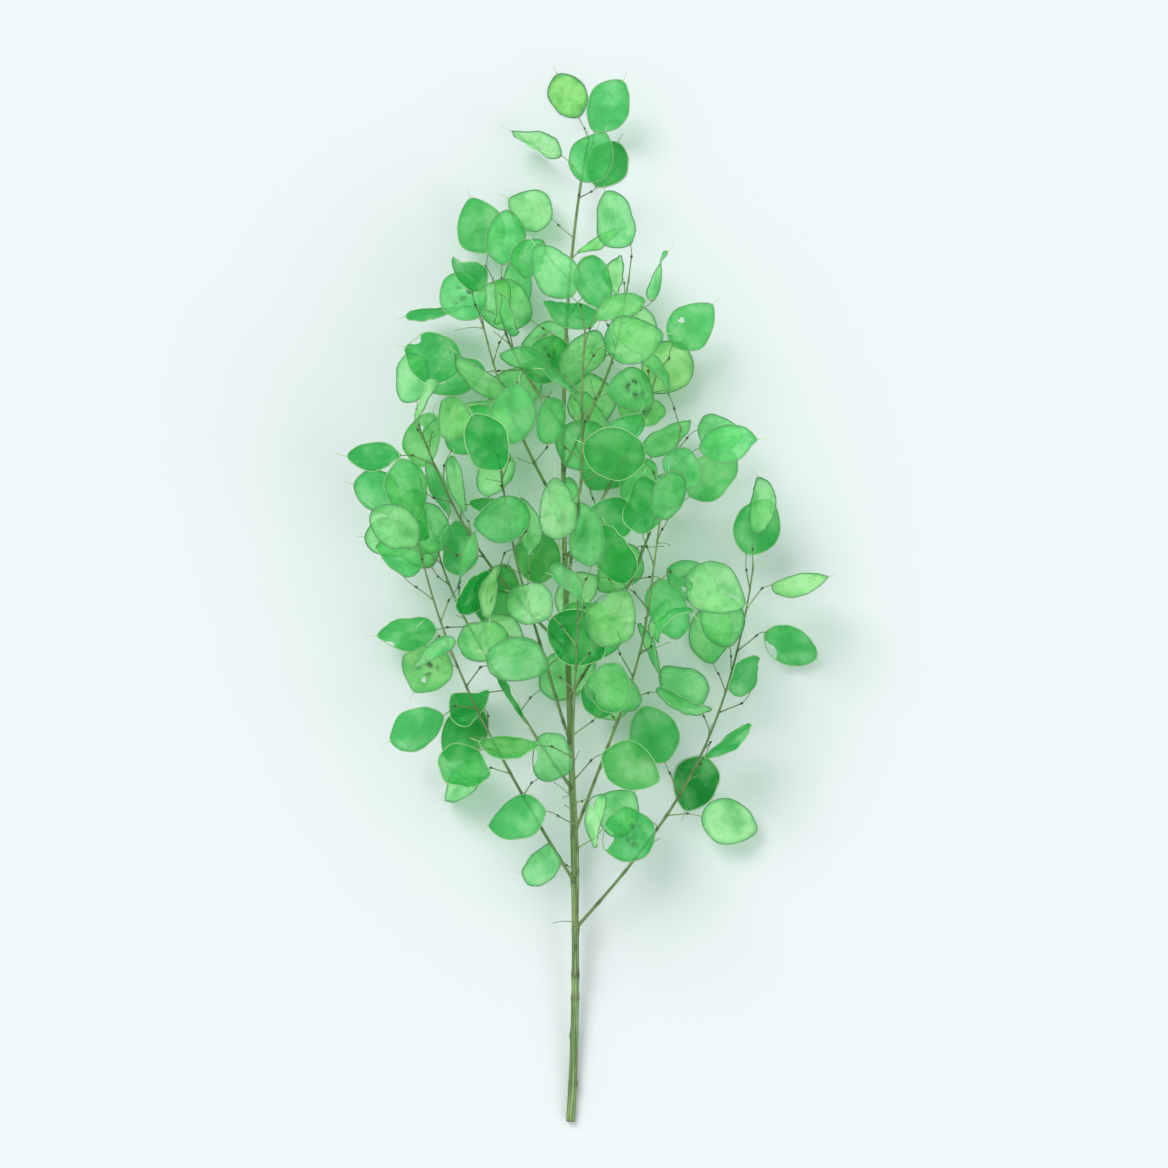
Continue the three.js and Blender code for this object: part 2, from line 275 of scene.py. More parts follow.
def isClear(samples, lies, twigs, grown):
    low = 0.5 * pod["cadThickness"] - clearance["slack"] if lies else clearance["surface"]
    if samples["blade"][:, 2].min() < low or samples["wire"][:, 2].min() < low:
        return False
    middle = samples["middle"]
    nearTwigs = twigs[np.linalg.norm(twigs - middle, axis=1) < clearance["reach"]]
    if comeWithin(samples["blade"], nearTwigs, clearance["podToWire"]):
        return False
    if comeWithin(samples["free"], nearTwigs, clearance["wireToWire"]):
        return False
    near = [g for g in grown if np.linalg.norm(g["middle"] - middle) < clearance["reach"]]
    if not near:
        return True
    blades = np.concatenate([g["blade"] for g in near])
    wires = np.concatenate([g["wire"] for g in near])
    return not (
        comeWithin(samples["blade"], blades, clearance["podToPod"])
        or comeWithin(samples["blade"], wires, clearance["podToWire"])
        or comeWithin(samples["wire"], blades, clearance["podToWire"])
        or comeWithin(samples["wire"], wires, clearance["wireToWire"])
    )


def growPods(raceme, twigs, grown, dice):
    count = int(math.floor(raceme["length"] * (1 - raceme["bare"]) / pod["spacing"] + 0.5)) + 1
    last = 1 - pedicel["rooted"] / raceme["length"]
    turn = dice(0, roundTurn)
    raceme["pods"], raceme["roots"] = [], []
    for i in range(count):
        share = i / (count - 1)
        t = mix(raceme["bare"], last, share)
        raceme["roots"].append(t)
        root = raceme["path"](t)
        forward = directionAt(raceme["path"], t)
        turn += goldenAngle
        for attempt in range(clearance["tries"]):  # a pod that finds no room has fallen
            made = drawPod(root, forward, turn, share, dice)
            samples = samplePod(made)
            if isClear(samples, made["lies"], twigs, grown):
                grown.append(samples)
                raceme["pods"].append(made)
                break


bareWire = dict(
    perRaceme=4, tries=30, shortest=9, longest=22, leans=(35, 70), curl=0.5, curlStray=(0.3, 1),
    lowest=0.45,  # share of the raceme's bare foot
    highest=0.97, points=12,
    radii=([0, 0.12, 0.9, 0.96, 1], [0.7, 0.36, 0.26, 0.42, 0.25]),  # at these shares of its length
    tones=(0.5, 1), darkFrom=0.85, dark=0.7,  # its broken tip is dark
)


def growBareWires(raceme, twigs, grown, dice):
    raceme["bareWires"] = []
    for i in range(bareWire["perRaceme"]):
        for attempt in range(bareWire["tries"]):
            t = mix(bareWire["lowest"] * raceme["bare"], bareWire["highest"], dice())
            root, forward = raceme["path"](t), directionAt(raceme["path"], t)
            ahead = lean(forward, aside(forward, dice(0, roundTurn)), dice(*bareWire["leans"]) * degree)
            length = dice(bareWire["shortest"], bareWire["longest"])
            bow = np.cross(ahead, stray(dice, 1)) * bareWire["curl"] * dice(*bareWire["curlStray"]) * length
            shares = np.linspace(0, 1, bareWire["points"])[:, None]
            path = root + ahead * length * shares + bow * shares**2
            samples = dict(middle=path[6], blade=path[11:], free=path[5:], wire=path[3:])
            if isClear(samples, False, twigs, grown):
                grown.append(samples)
                raceme["bareWires"].append(path)
                break


def growStem():
    dice = makeDice(seeds["growth"])
    racemes = [growBranch(i, dice) for i in range(branch["count"])]
    ends = stalkPath(np.array([0.0, 1.0]))
    racemes.append(dict(path=stalkPath, length=float(np.linalg.norm(ends[1] - ends[0])), bare=stalk["bare"]))
    twigs = []
    for raceme in racemes:
        count = int(math.floor(raceme["length"] / clearance["twigStep"] + 0.5))
        twigs.append(raceme["path"](np.arange(count + 1) / count))
    twigs = np.concatenate(twigs)
    grown = []
    for raceme in racemes:
        growPods(raceme, twigs, grown, dice)
    wireDice = makeDice(seeds["bareWires"])
    for raceme in racemes:
        growBareWires(raceme, twigs, grown, wireDice)
    return racemes


racemes = growStem()
podCount = sum(len(raceme["pods"]) for raceme in racemes)
print("grown:", podCount, "pods", [len(raceme["pods"]) for raceme in racemes])

# meshes: templates made with bmesh, then copied and bent into place

detailDice = makeDice(seeds["details"])


def toMesh(bm, name, material=None):
    for face in bm.faces:
        face.smooth = True
        if material is not None:
            face.material_index = material
    mesh = bpy.data.meshes.new(name)
    bm.to_mesh(mesh)
    bm.free()
    return mesh


def columns(*values):  # side by side, where one number stands for a whole column
    return np.stack(np.broadcast_arrays(*values), axis=1)


def readOff(x, at, points):
    return columns(*[np.interp(x, at, points[:, k]) for k in range(3)])


def bell(x):
    return np.exp(-(x**2))


def coordsOf(mesh):
    flat = np.empty(3 * len(mesh.vertices))
    mesh.vertices.foreach_get("co", flat)
    return flat.reshape(-1, 3)


def sharpen(bm):
    for edge in bm.edges:
        if len(edge.link_faces) == 2 and edge.calc_face_angle() > 50 * degree:
            edge.smooth = False


# The skin is drawn as a flat disc of radius 1, whose x runs from the pod's base to its beak. Its height is
# already in millimetres.
skin = dict(
    rings=[0, 0.15, 0.31, 0.47, 0.62, 0.75, 0.86, 0.945, 1],
    around=40,
    thickness=0.16,  # drawn a little thicker than the real 0.1 so that its two faces stay apart
    whole=0.78,  # share of the pods with no damage
    slitWidth=0.024,
    cockle=(0.4, 1.5), rimWaves=((2, 0.9), (3, 0.8), (5, 0.35)),  # waves round the rim, and their heights
    ripple=(0.15, 0.5), rippleWaves=(0.55, 1.15),  # inside it, per millimetre
    crease=0.24,  # steepest slope beside a sharp crease
    uneven=0.028,  # how far the outline strays, as a share of the radius
)


def cutAway(bm, isLost):
    doomed = [face for face in bm.faces if isLost(face.calc_center_median())]
    bmesh.ops.delete(bm, geom=doomed, context="FACES")


def cutHole(bm, x, y, reach, frayed):
    def isLost(middle):
        angle = math.atan2(middle.y - y, middle.x - x)
        edge = reach * (1 + frayed * math.sin(3 * angle + x * 9) + frayed * math.sin(5 * angle + y * 7))
        return math.hypot(middle.x - x, middle.y - y) < edge

    cutAway(bm, isLost)


def cutRim(bm, first, last, depth):  # a strip where the skin has come off its wire
    def isLost(middle):
        along = (math.atan2(middle.y, middle.x) / degree - first) % 360 / (last - first)
        return along < 1 and middle.xy.length > 1 - depth * math.sin(math.pi * along)

    cutAway(bm, isLost)


def cutSlit(bm, spoke, inner, outer):  # its two sides gape
    away = Vector((math.cos(spoke * degree), math.sin(spoke * degree), 0))
    side = Vector((-away.y, away.x, 0))
    cut = []
    for edge in bm.edges:
        ends = [(v.co @ away, abs(v.co @ side)) for v in edge.verts]
        if all(inner - 0.01 < reach < outer + 0.01 and off < 1e-4 for reach, off in ends):
            cut.append(edge)
    bmesh.ops.split_edges(bm, edges=cut)
    for v in bm.verts:
        reach = v.co @ away
        if abs(v.co @ side) < 1e-4 and inner + 0.01 < reach < outer - 0.01:
            middle = sum((face.calc_center_median() for face in v.link_faces), Vector())
            gape = math.sin(math.pi * (reach - inner) / (outer - inner))
            v.co += side * math.copysign(skin["slitWidth"] * gape, middle @ side)


def skinTemplate(name, slit=None, hole=None, lost=None):
    bm = bmesh.new()
    line = [bm.verts.new((share, 0, 0)) for share in skin["rings"]]
    spokes = [bm.edges.new(pair) for pair in zip(line, line[1:])]
    bmesh.ops.spin(
        bm, geom=line + spokes, cent=(0, 0, 0), axis=(0, 0, 1), angle=2 * math.pi,
        steps=skin["around"], use_merge=True,
    )
    bmesh.ops.remove_doubles(bm, verts=bm.verts, dist=1e-5)
    if bm.faces[:][0].normal.z < 0:
        bmesh.ops.reverse_faces(bm, faces=bm.faces)
    if slit or hole or lost:  # finer, for a ragged edge
        bmesh.ops.subdivide_edges(bm, edges=bm.edges, cuts=1, use_grid_fill=True)
        for v in bm.verts:
            if v.is_boundary:
                v.co.xy /= v.co.xy.length
    if hole:
        cutHole(bm, *hole)
    if lost:
        cutRim(bm, *lost)
    if hole or lost:
        frayedEdge = [v for v in bm.verts if v.is_boundary and v.co.xy.length < 0.99]  # not the rim
        for repeat in range(2):
            bmesh.ops.smooth_vert(bm, verts=frayedEdge, factor=0.5, use_axis_x=True, use_axis_y=True)
    if slit:
        cutSlit(bm, *slit)
    bmesh.ops.solidify(bm, geom=bm.faces[:], thickness=skin["thickness"])
    heights = [v.co.z for v in bm.verts]
    bmesh.ops.translate(bm, verts=bm.verts, vec=(0, 0, -0.5 * (min(heights) + max(heights))))
    sharpen(bm)
    return toMesh(bm, name)


def tubeTemplate(name, sides, steps, cutFace=False, material=None):
    # a straight tube of radius 1 that stands on the origin and is 1 high
    bm = bmesh.new()
    bmesh.ops.create_cone(bm, cap_ends=True, segments=sides, radius1=1, radius2=1, depth=1)
    bmesh.ops.translate(bm, verts=bm.verts, vec=(0, 0, 0.5))
    sideEdges = [e for e in bm.edges if abs(e.verts[0].co.z - e.verts[1].co.z) > 0.5]
    bmesh.ops.subdivide_edges(bm, edges=sideEdges, cuts=steps - 1)
    if cutFace:  # bark, then the ring of wood, then the pith, at the foot
        foot = [f for f in bm.faces if f.calc_center_median().z < 1e-6 and len(f.verts) == sides]
        for rim, depth in ((0.16, 0), (0.42, 0.0004)):
            bmesh.ops.inset_region(bm, faces=foot, thickness=rim, depth=0, use_even_offset=True)
            bmesh.ops.translate(bm, verts=foot[0].verts, vec=(0, 0, depth))
            for ring in {face for edge in foot[0].edges for face in edge.link_faces}:
                ring.material_index = 1
    sharpen(bm)
    return toMesh(bm, name, material)


beadRadius = 0.1  # of the template's section, on a ring of radius 1


def beadTemplate(name, material):
    bm = bmesh.new()
    bmesh.ops.create_circle(bm, segments=6, radius=beadRadius)
    bmesh.ops.rotate(bm, verts=bm.verts, cent=(0, 0, 0), matrix=Matrix.Rotation(math.pi / 2, 3, "X"))
    bmesh.ops.translate(bm, verts=bm.verts, vec=(1, 0, 0))
    bmesh.ops.spin(
        bm, geom=bm.verts[:] + bm.edges[:], cent=(0, 0, 0), axis=(0, 0, 1), angle=2 * math.pi,
        steps=skin["around"], use_merge=True,
    )
    bmesh.ops.recalc_face_normals(bm, faces=bm.faces)
    return toMesh(bm, name, material)


templates = dict(
    wire=tubeTemplate("wireTemplate", 7, 18),
    beak=tubeTemplate("beakTemplate", 6, 6, material=2),
    twig=tubeTemplate("twigTemplate", 10, 72),
    stalk=tubeTemplate("stalkTemplate", 22, 220, cutFace=True),
    bead=beadTemplate("beadTemplate", material=1),
    skins=[
        skinTemplate("wholeSkin"),
        skinTemplate("slitSkin", slit=(72, 0.3, 0.95)),
        skinTemplate("splitSkin", slit=(-36, 0.14, 0.95)),
        skinTemplate("holedSkin", hole=(0.42, 0.3, 0.085, 0.3)),
        skinTemplate("frayedSkin", lost=(20, 75, 0.33)),
        skinTemplate("tornSkin", lost=(-80, -50, 0.2), slit=(108, 0.4, 0.95)),
    ],
)
templates["markedSkins"] = [mesh.copy() for mesh in templates["skins"]]
for mesh in templates["markedSkins"]:
    mesh.polygons.foreach_set("material_index", [3] * len(mesh.polygons))
templateCoords = {name: coordsOf(mesh) for name, mesh in templates.items() if not isinstance(mesh, list)}
skinCoords = [coordsOf(mesh) for mesh in templates["skins"]]
print("templates:", {name: len(co) for name, co in templateCoords.items()}, [len(co) for co in skinCoords])


def startPile():
    return dict(bm=bmesh.new(), co=[], first=[], second=[])


def addCopy(pile, mesh, co, first, second):
    pile["bm"].from_mesh(mesh)
    pile["co"].append(co)
    pile["first"].append(np.broadcast_to(np.asarray(first, dtype=float), co.shape))
    pile["second"].append(np.broadcast_to(np.asarray(second, dtype=float), co.shape))


def finishPile(pile, name, attributes, materials, node):
    mesh = bpy.data.meshes.new(name)
    pile["bm"].to_mesh(mesh)
    pile["bm"].free()
    mesh.vertices.foreach_set("co", (np.concatenate(pile["co"]) * mm).ravel())
    for attribute, key in zip(attributes, ("first", "second")):
        layer = mesh.attributes.new(attribute, "FLOAT_VECTOR", "POINT")
        layer.data.foreach_set("vector", np.concatenate(pile[key]).ravel())
    for material in materials:
        mesh.materials.append(material)
    mesh.update()
    piece = bpy.data.objects.new(name, mesh)
    bpy.context.scene.collection.objects.link(piece)
    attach(piece, "root")
    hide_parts(node)


def framesAlong(points):
    ahead = np.gradient(points, axis=0)
    ahead /= np.linalg.norm(ahead, axis=1)[:, None]
    side = np.cross(ahead[0], up if abs(ahead[0][2]) < 0.9 else vec(1, 0, 0))
    sides = []
    for direction in ahead:
        side = unit(side - direction * float(side @ direction))
        sides.append(side)
    sides = np.array(sides)
    return ahead, sides, np.cross(ahead, sides)


def placeTube(co, points, radius):
    # radius is a function of the share along the tube and the angle round it
    ahead, sides, others = framesAlong(points)
    at = np.linspace(0, 1, len(points))
    middle, side, other = [readOff(co[:, 2], at, values) for values in (points, sides, others)]
    size = radius(co[:, 2], np.arctan2(co[:, 1], co[:, 0]))[:, None]
    return middle + size * (co[:, :1] * side + co[:, 1:2] * other)


def straightened(co, length, thick, shift):
    # the tube's own place before it was bent, in metres, which the grain of the wood follows
    return columns(co[:, 0] * thick, co[:, 1] * thick, co[:, 2] * length + shift) * mm


# pods

rim = dict(radius=0.4, beakRadius=0.36, beakTip=0.14, beakBow=0.9, beakSunk=0.12)


def unevenShare(made, share, angle):
    a, b = made["phases"][:2]
    strays = np.sin(3 * angle + a) + 0.8 * np.sin(4 * angle + b) + 0.5 * np.sin(7 * angle + a - b)
    awayFromEnds = np.sin(angle) ** 2
    return share * (1 + skin["uneven"] * strays * awayFromEnds)


def cockleOf(made, share, angle):
    if made["lies"]:
        return np.zeros_like(share)
    phases = made["phases"]
    rimWaves = sum(
        size * np.sin(waves * angle + phase)
        for (waves, size), phase in zip(skin["rimWaves"], phases)
    )
    x, y = flatPlace(made["blade"], share, angle)
    turned = x * math.cos(phases[3]) + y * math.sin(phases[3])
    long, short = skin["rippleWaves"]
    creases = np.sin(turned * long + phases[4]) + 0.6 * np.sin(turned * short + y * 0.3 + phases[5])
    across = y * math.cos(phases[3]) - x * math.sin(phases[3])
    # one sharp crease, which falls away on both sides of a line
    folded = made["crease"] * (np.hypot(across - 3 * made["bend"], 0.5) - 6)
    fromBase = np.minimum(np.hypot(share * np.cos(angle) - 1, share * np.sin(angle)) / 0.6, 1)
    return fromBase * (made["cockle"] * share**2 * rimWaves + made["ripple"] * creases + folded)


def placeSkin(made, co):
    share = np.hypot(co[:, 0], co[:, 1])
    angle = np.arctan2(co[:, 1], -co[:, 0])
    point, normal = bladePlace(made["blade"], unevenShare(made, share, angle), angle)
    return point + normal * (co[:, 2] + cockleOf(made, share, angle))[:, None]


def rimLine(made, angle, share=1.0):
    shares = np.full_like(angle, share)
    point, normal = bladePlace(made["blade"], unevenShare(made, shares, angle), angle)
    return point + normal * cockleOf(made, shares, angle)[:, None], normal


def placeBead(made, co):
    around = np.hypot(co[:, 0], co[:, 1])
    angle = np.arctan2(co[:, 1], -co[:, 0])
    middle, normal = rimLine(made, angle)
    inner, _ = rimLine(made, angle, 0.97)
    ahead, _ = rimLine(made, angle + 0.02)
    behind, _ = rimLine(made, angle - 0.02)
    tangent = ahead - behind
    tangent /= np.linalg.norm(tangent, axis=1)[:, None]
    outward = middle - inner
    outward -= tangent * (outward * tangent).sum(1)[:, None]
    outward /= np.linalg.norm(outward, axis=1)[:, None]
    square = np.cross(tangent, outward)
    square *= np.sign((square * normal).sum(1))[:, None]
    size = rim["radius"] / beadRadius
    return middle + size * ((around - 1)[:, None] * outward + co[:, 2:] * square)


def beakPath(made):
    along = np.linspace(-rim["beakSunk"], 1, 9)
    angles = np.full_like(along, math.pi)
    shares = 1 + 2 * along * pod["beak"] / made["blade"]["length"]
    point, normal = bladePlace(made["blade"], shares, angles)
    bow = rim["beakBow"] * made["bend"] * np.maximum(along, 0) ** 2
    if made["lies"]:
        bow = bow * 0
    lift = cockleOf(made, np.ones_like(along), angles)
    return point + normal * (lift + bow)[:, None]


wire = dict(  # pedicel, knot and stipe in one
    steps=24, arch=0.05, archStray=0.4, sunk=0.8,
    follows=0.45,  # how far the stipe bends into line with the pod
    rings=[-3.4, -2.2, -1.3, -0.6, 0, 0.5, 1.1, 1.8, 3.2],  # they crowd round the knot, where it swells
    ringsApart=6,  # in the plain stretches before and after
    taper=0.12, knotReach=(1.5, 0.8),  # the knot swells slowly and ends short
    footSwell=0.35, neckSwell=0.12, endReach=1.6,
)


def arc(first, middle, last, t):
    return first * (1 - t) ** 2 + middle * 2 * t * (1 - t) + last * t**2


def wirePath(made):
    root, knot, base, axis = made["root"], made["knot"], made["blade"]["base"], made["blade"]["axis"]
    reach = float(np.linalg.norm(knot - root))
    rest = float(np.linalg.norm(base - knot))
    t = np.linspace(0, 1, wire["steps"])[:, None]
    arch = unit(np.cross(knot - root, made["forward"]) + stray(detailDice, 1) * wire["archStray"])
    arch = arch * detailDice(-1, 1)
    first = arc(root, 0.5 * (root + knot) + arch * wire["arch"] * reach, knot, t)
    middle = mix(0.5 * (knot + base), base - axis * 0.5 * rest, wire["follows"])
    second = arc(knot, middle, base + axis * wire["sunk"], t)
    points = np.concatenate([first, second[1:]])
    lengths = np.concatenate([[0], np.cumsum(np.linalg.norm(np.diff(points, axis=0), axis=1))])
    knotAt = lengths[wire["steps"] - 1]
    total = lengths[-1]
    near = knotAt + np.array(wire["rings"])
    rings = np.concatenate([
        np.linspace(0, near[0], wire["ringsApart"]), near[1:-1],
        np.linspace(near[-1], total, wire["ringsApart"]),
    ])
    return readOff(rings, lengths, points), rings, knotAt, total


def wireRadius(rings, knotAt, total):
    before = pedicel["radius"] * (1 - wire["taper"] * rings / knotAt)
    thick = np.where(rings <= knotAt, before, stipe["radius"])
    swell = bell((rings - knotAt) / np.where(rings <= knotAt, *wire["knotReach"]))
    thick = thick + (stipe["knotRadius"] - thick) * swell
    foot = np.exp(-rings / wire["endReach"]) * wire["footSwell"]
    neck = np.exp(-(total - rings) / wire["endReach"]) * wire["neckSwell"]
    return thick + foot + neck, swell


def addWire(pile, made):
    path, rings, knotAt, total = wirePath(made)
    sizes, swell = wireRadius(rings, knotAt, total)
    co = templateCoords["wire"]
    at = np.linspace(0, 1, len(rings))
    placed = placeTube(co, path, lambda share, angle: np.interp(share, at, sizes))
    lengths = np.interp(co[:, 2], at, rings)
    thick = pedicel["radius"]
    straight = columns(co[:, 0] * thick, co[:, 1] * thick, lengths + made["shift"]) * mm
    look = columns(np.interp(co[:, 2], at, swell), made["tone"], 1)
    addCopy(pile, templates["wire"], placed, straight, look)


def addBareWire(pile, path, raceme):
    co = templateCoords["wire"]
    at = np.linspace(0, 1, bareWire["points"])
    sizes = np.interp(at, *bareWire["radii"])
    placed = placeTube(co, path, lambda share, angle: np.interp(share, at, sizes))
    length = float(np.linalg.norm(path[-1] - path[0]))
    dark = np.clip((co[:, 2] - bareWire["darkFrom"]) * 6, 0, bareWire["dark"])
    straight = straightened(co, length, 0.4, raceme["shift"] + length)
    addCopy(pile, templates["wire"], placed, straight, columns(dark, detailDice(*bareWire["tones"]), 1))


def addPod(pile, made):
    which = 0
    if not made["lies"] and detailDice() > skin["whole"]:
        which = 1 + int(detailDice() * 4.999)  # one of the five damaged ones
    # turned by whole spokes, so that the damage can be anywhere
    turned = detailDice() * skin["around"]
    step = 2 * math.pi / skin["around"] * round(turned)
    co = skinCoords[which]
    cos, sin = math.cos(step), math.sin(step)
    spun = columns(co[:, 0] * cos - co[:, 1] * sin, co[:, 0] * sin + co[:, 1] * cos, co[:, 2])

    def flatOf(co):
        x, y = flatPlace(made["blade"], np.hypot(co[:, 0], co[:, 1]), np.arctan2(co[:, 1], -co[:, 0]))
        return columns(x * mm + made["shift"], y * mm + 7 * made["shift"] % 3, 0)

    def lookOf(co):
        return columns(made["tone"], made["lot"], np.hypot(co[:, 0], co[:, 1]))

    placed = placeSkin(made, spun)
    mesh = templates["markedSkins" if made["marked"] else "skins"][which]
    addCopy(pile, mesh, placed, flatOf(spun), lookOf(spun))
    bead = templateCoords["bead"]
    addCopy(pile, templates["bead"], placeBead(made, bead), flatOf(bead), lookOf(bead))
    beak = templateCoords["beak"]
    placed = placeTube(
        beak, beakPath(made), lambda share, angle: mix(rim["beakRadius"], rim["beakTip"], share)
    )
    look = columns(made["tone"], beak[:, 2], beak[:, 2])
    addCopy(pile, templates["beak"], placed, flatOf(beak * 0), look)


# materials

def linear(hexColour):  # sRGB hex to linear
    values = [int(hexColour[i : i + 2], 16) / 255 for i in (1, 3, 5)]
    return tuple(v / 12.92 if v <= 0.04045 else ((v + 0.055) / 1.055) ** 2.4 for v in values) + (1,)


def addNode(tree, kind, inputs=None, **settings):
    made = tree.nodes.new(kind)
    for key, value in settings.items():
        setattr(made, key, value)
    for key, value in (inputs or {}).items():
        if isinstance(value, bpy.types.NodeSocket):
            tree.links.new(value, made.inputs[key])
        else:
            made.inputs[key].default_value = value
    return made


def startMaterial(name):
    material = bpy.data.materials.new(name)
    material.use_nodes = True
    material.node_tree.nodes.clear()
    return material, material.node_tree


def paintOver(tree, colour, layers):
    # each layer is what weighs it, the span of that, the weights at both ends of it, and its colour
    for value, (low, high), (first, last), paint in layers:
        weight = addNode(tree, "ShaderNodeMapRange", {
            "Value": value, "From Min": low, "From Max": high, "To Min": first, "To Max": last,
        }).outputs["Result"]
        both = {0: weight, 6: colour, 7: paint if len(paint) == 4 else linear(paint)}
        colour = addNode(tree, "ShaderNodeMix", both, data_type="RGBA").outputs[2]
    return colour


def endOpaque(tree, colour, roughness, height=None, strength=0.0, depth=0.0):
    # a surface that lets nothing through, with relief where a pattern gives its height; depth is in metres
    inputs = {"Base Color": colour, "Roughness": roughness}
    if height is not None:
        relief = {"Height": height, "Strength": strength, "Distance": depth}
        inputs["Normal"] = addNode(tree, "ShaderNodeBump", relief).outputs[0]
    lit = addNode(tree, "ShaderNodeBsdfPrincipled", inputs)
    addNode(tree, "ShaderNodeOutputMaterial", {"Surface": lit.outputs[0]})


def skinMaterial(name, seedMarks):
    # The septum of a ripe honesty pod, a dried silvery film, dip dyed: thin enough to glow with the light
    # from behind, silky in front, with deep clouds where the dye took unevenly, pale pearly clouds that are a
    # painted sheen, and a fine net of veins.
    film = dict(
        # the pale pearly colour is a painted sheen, laid into the film's colour in clouds
        deep="#34c765", middle="#98eea9", pale="#dcffd2", paintedSheen="#e4ffdb", yellow="#dcf9a8",
        seedMark="#44664c",
        clouds=0.021, mottles=0.005, veins=0.0042, seeds=0.0075,  # metres across
        seeThrough=0.66, tint="#c0f0c6", whiter=0.25, through=0.5, roughness=0.36,
    )
    material, tree = startMaterial(name)
    flat = addNode(tree, "ShaderNodeAttribute", attribute_name="podFlat").outputs["Vector"]
    look = addNode(tree, "ShaderNodeAttribute", attribute_name="podLook").outputs["Vector"]
    tone, lot, share = addNode(tree, "ShaderNodeSeparateXYZ", {0: look}).outputs[:3]
    clouds = addNode(
        tree, "ShaderNodeTexNoise", {"Vector": flat, "Scale": 1 / film["clouds"], "Detail": 2.0},
        noise_dimensions="2D",
    ).outputs[0]
    mottles = addNode(
        tree, "ShaderNodeTexNoise", {"Vector": flat, "Scale": 1 / film["mottles"], "Detail": 3.0},
        noise_dimensions="2D",
    ).outputs
    wavy = addNode(  # bends straight lines and spots, so that they look grown
        tree, "ShaderNodeVectorMath", {0: mottles[1], 1: (0.006, 0.006, 0), 2: flat}, operation="MULTIPLY_ADD"
    ).outputs[0]
    net = addNode(
        tree, "ShaderNodeTexVoronoi", {"Vector": wavy, "Scale": 1 / film["veins"]},
        feature="DISTANCE_TO_EDGE", voronoi_dimensions="2D",
    ).outputs["Distance"]
    colour = paintOver(tree, linear(film["deep"]), [
        (tone, (0.0, 0.5), (0.0, 1.0), film["middle"]),
        (tone, (0.5, 1.0), (0.0, 1.0), film["pale"]),
        (lot, (0.75, 1.0), (0.0, 0.45), film["yellow"]),
        # painted sheen: pale pearly clouds lighten the film's colour as a silky highlight would
        (clouds, (0.45, 0.8), (0.0, 0.55), film["paintedSheen"]),
        (clouds, (0.2, 0.5), (0.5, 0.0), film["deep"]),
        (mottles[0], (0.5, 0.75), (0.0, 0.2), film["deep"]),
        (net, (0.0, 0.09), (0.16, 0.0), film["deep"]),  # veins
        (share, (0.82, 1.0), (0.0, 0.4), film["deep"]),  # dye that gathered along the rim
    ])
    if seedMarks:  # seeds that dried onto the film near its middle have left their marks
        seeds = addNode(
            tree, "ShaderNodeTexVoronoi", {"Vector": wavy, "Scale": 1 / film["seeds"]},
            voronoi_dimensions="2D",
        ).outputs["Distance"]
        black, white = (0, 0, 0, 1), (1, 1, 1, 1)
        mark = paintOver(tree, black, [
            (seeds, (0.1, 0.5), (0.85, 0.0), white),
            (share, (0.3, 0.6), (0.0, 1.0), black),
            (clouds, (0.35, 0.6), (0.7, 0.0), black),
        ])
        inputs = {0: mark, 6: colour, 7: linear(film["seedMark"])}
        colour = addNode(tree, "ShaderNodeMix", inputs, data_type="RGBA").outputs[2]
    relief = {"Height": mottles[0], "Strength": 0.8, "Distance": 0.0016}
    bump = addNode(tree, "ShaderNodeBump", relief).outputs[0]
    lit = addNode(
        tree, "ShaderNodeBsdfPrincipled",
        {"Base Color": colour, "Normal": bump, "Roughness": film["roughness"], "Specular IOR Level": 0.4},
    )
    glow = addNode(tree, "ShaderNodeBsdfTranslucent", {"Color": colour, "Normal": bump})
    paper = addNode(tree, "ShaderNodeMixShader", {0: film["through"], 1: lit.outputs[0], 2: glow.outputs[0]})
    whiter = {0: film["whiter"], 6: colour, 7: (1, 1, 1, 1)}
    tint = addNode(tree, "ShaderNodeMix", whiter, data_type="RGBA").outputs[2]
    clear = addNode(tree, "ShaderNodeBsdfTransparent", {"Color": tint})
    both = {0: film["seeThrough"], 1: paper.outputs[0], 2: clear.outputs[0]}
    whole = addNode(tree, "ShaderNodeMixShader", both)
    # lamps reach through by the film's usual tint, which spares them the pattern
    usual = tuple(film["seeThrough"] * part for part in linear(film["tint"])[:3]) + (1,)
    passed = addNode(tree, "ShaderNodeBsdfTransparent", {"Color": usual})
    rays = addNode(tree, "ShaderNodeLightPath").outputs["Is Shadow Ray"]
    whole = addNode(tree, "ShaderNodeMixShader", {0: rays, 1: whole.outputs[0], 2: passed.outputs[0]})
    addNode(tree, "ShaderNodeOutputMaterial", {"Surface": whole.outputs[0]})
    return material


def rimMaterial():
    # The rim wire that holds the film, dyed with it: a hard thin fibre. Its lightness is painted light and
    # shade: dark round a pale film, as a rim looks against light from behind, and pale round a deeply dyed
    # one, as a rim looks lit from the front.
    fibre = dict(dark="#3c734a", light="#86b47a", grain=0.003, roughness=0.5)
    material, tree = startMaterial("dyedRimFibre")
    flat = addNode(tree, "ShaderNodeAttribute", attribute_name="podFlat").outputs["Vector"]
    look = addNode(tree, "ShaderNodeAttribute", attribute_name="podLook").outputs["Vector"]
    tone = addNode(tree, "ShaderNodeSeparateXYZ", {0: look}).outputs[0]
    grain = {"Vector": flat, "Scale": 1 / fibre["grain"], "Detail": 1.0}
    grain = addNode(tree, "ShaderNodeTexNoise", grain).outputs["Fac"]
    colour = paintOver(tree, linear(fibre["light"]), [
        # painted shade and light: darker round pale films as if backlit, paler round deep ones as if lit from
        # the front
        (tone, (0.2, 0.7), (0.0, 1.0), fibre["dark"]),
        (grain, (0.4, 0.7), (0.0, 0.5), fibre["light"]),
    ])
    endOpaque(tree, colour, fibre["roughness"], height=grain, strength=0.4, depth=0.0002)
    return material


